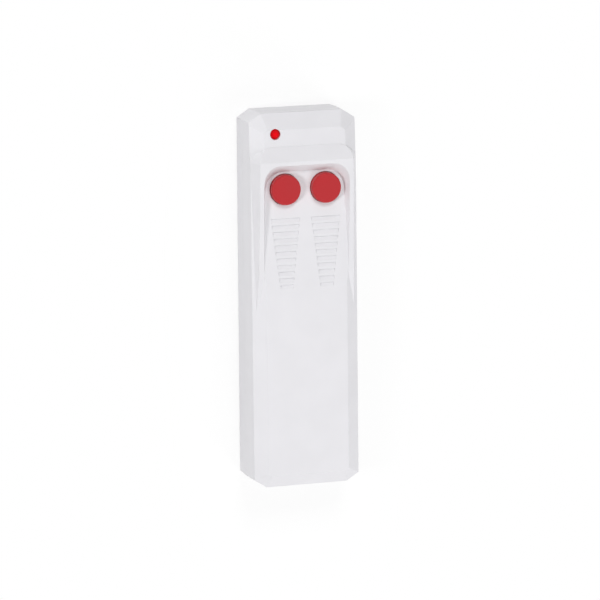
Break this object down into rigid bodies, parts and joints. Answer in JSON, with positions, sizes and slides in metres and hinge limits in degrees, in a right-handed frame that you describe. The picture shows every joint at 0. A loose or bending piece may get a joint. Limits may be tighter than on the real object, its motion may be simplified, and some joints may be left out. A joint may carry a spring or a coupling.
{
  "type": "remote key fob",
  "caption": "Slim radio key fob: bevelled white case with a hooded recess, red push buttons, grip grooves and a red lamp.",
  "frame": {"origin": "centre of the flat back face, on the surface that the fob lies on", "axes": "+X along the width, +Y along the length towards the lamp end, +Z out of the front"},
  "size_m": [0.033, 0.112, 0.0174],
  "materials": {
    "shell": "satin moulded, fine grain",
    "button": "satin moulded",
    "lamp": "clear red resin",
    "board": "solder resist",
    "chip_black": "moulded",
    "switch_black": "moulded",
    "steel": "plated",
    "tinned_wire": "tinned",
    "spring_plate": "nickel plated",
    "brass": "plain",
    "copper": "plain copper",
    "ceramic_base": "unglazed",
    "ceramic_tan": "unglazed",
    "battery_jacket": "plain sleeve"
  },
  "bodies": {
    "case": {"front_shell": "shell", "back_shell": "shell", "case_screw": "steel", "circuit_board": "board", "led_lamp": "lamp", "led_leads": "tinned_wire", "encoder_chip": "chip_black", "encoder_legs": "tinned_wire", "resonator_can": "steel", "transistor": "chip_black", "transistor_leads": "tinned_wire", "trimmer_base": "ceramic_base", "trimmer_rotor": "brass", "chip_resistors": "chip_black", "chip_capacitors": "ceramic_tan", "antenna_loop": "copper", "battery": "battery_jacket", "battery_contact": "spring_plate", "spring_contact": "spring_plate", "battery_spring": "spring_plate", "switch_base_left": "switch_black", "switch_cover_left": "steel", "switch_dome_left": "spring_plate", "switch_terminals_left": "tinned_wire", "switch_base_right": "switch_black", "switch_cover_right": "steel", "switch_dome_right": "spring_plate", "switch_terminals_right": "tinned_wire"},
    "left_button": {"button_left": "button", "switch_plunger_left": "switch_black"},
    "right_button": {"button_right": "button", "switch_plunger_right": "switch_black"}
  },
  "joints": [
    {"name": "press_left", "type": "slide", "parent": "case", "child": "left_button", "axis": [0, 0, -1], "range_m": [0, 0.0003], "stiffness_N_per_m": 4000, "springref_m": -0.0001, "deforming": ["switch_dome_left"]},
    {"name": "press_right", "type": "slide", "parent": "case", "child": "right_button", "axis": [0, 0, -1], "range_m": [0, 0.0003], "stiffness_N_per_m": 4000, "springref_m": -0.0001, "deforming": ["switch_dome_right"]}
  ]
}
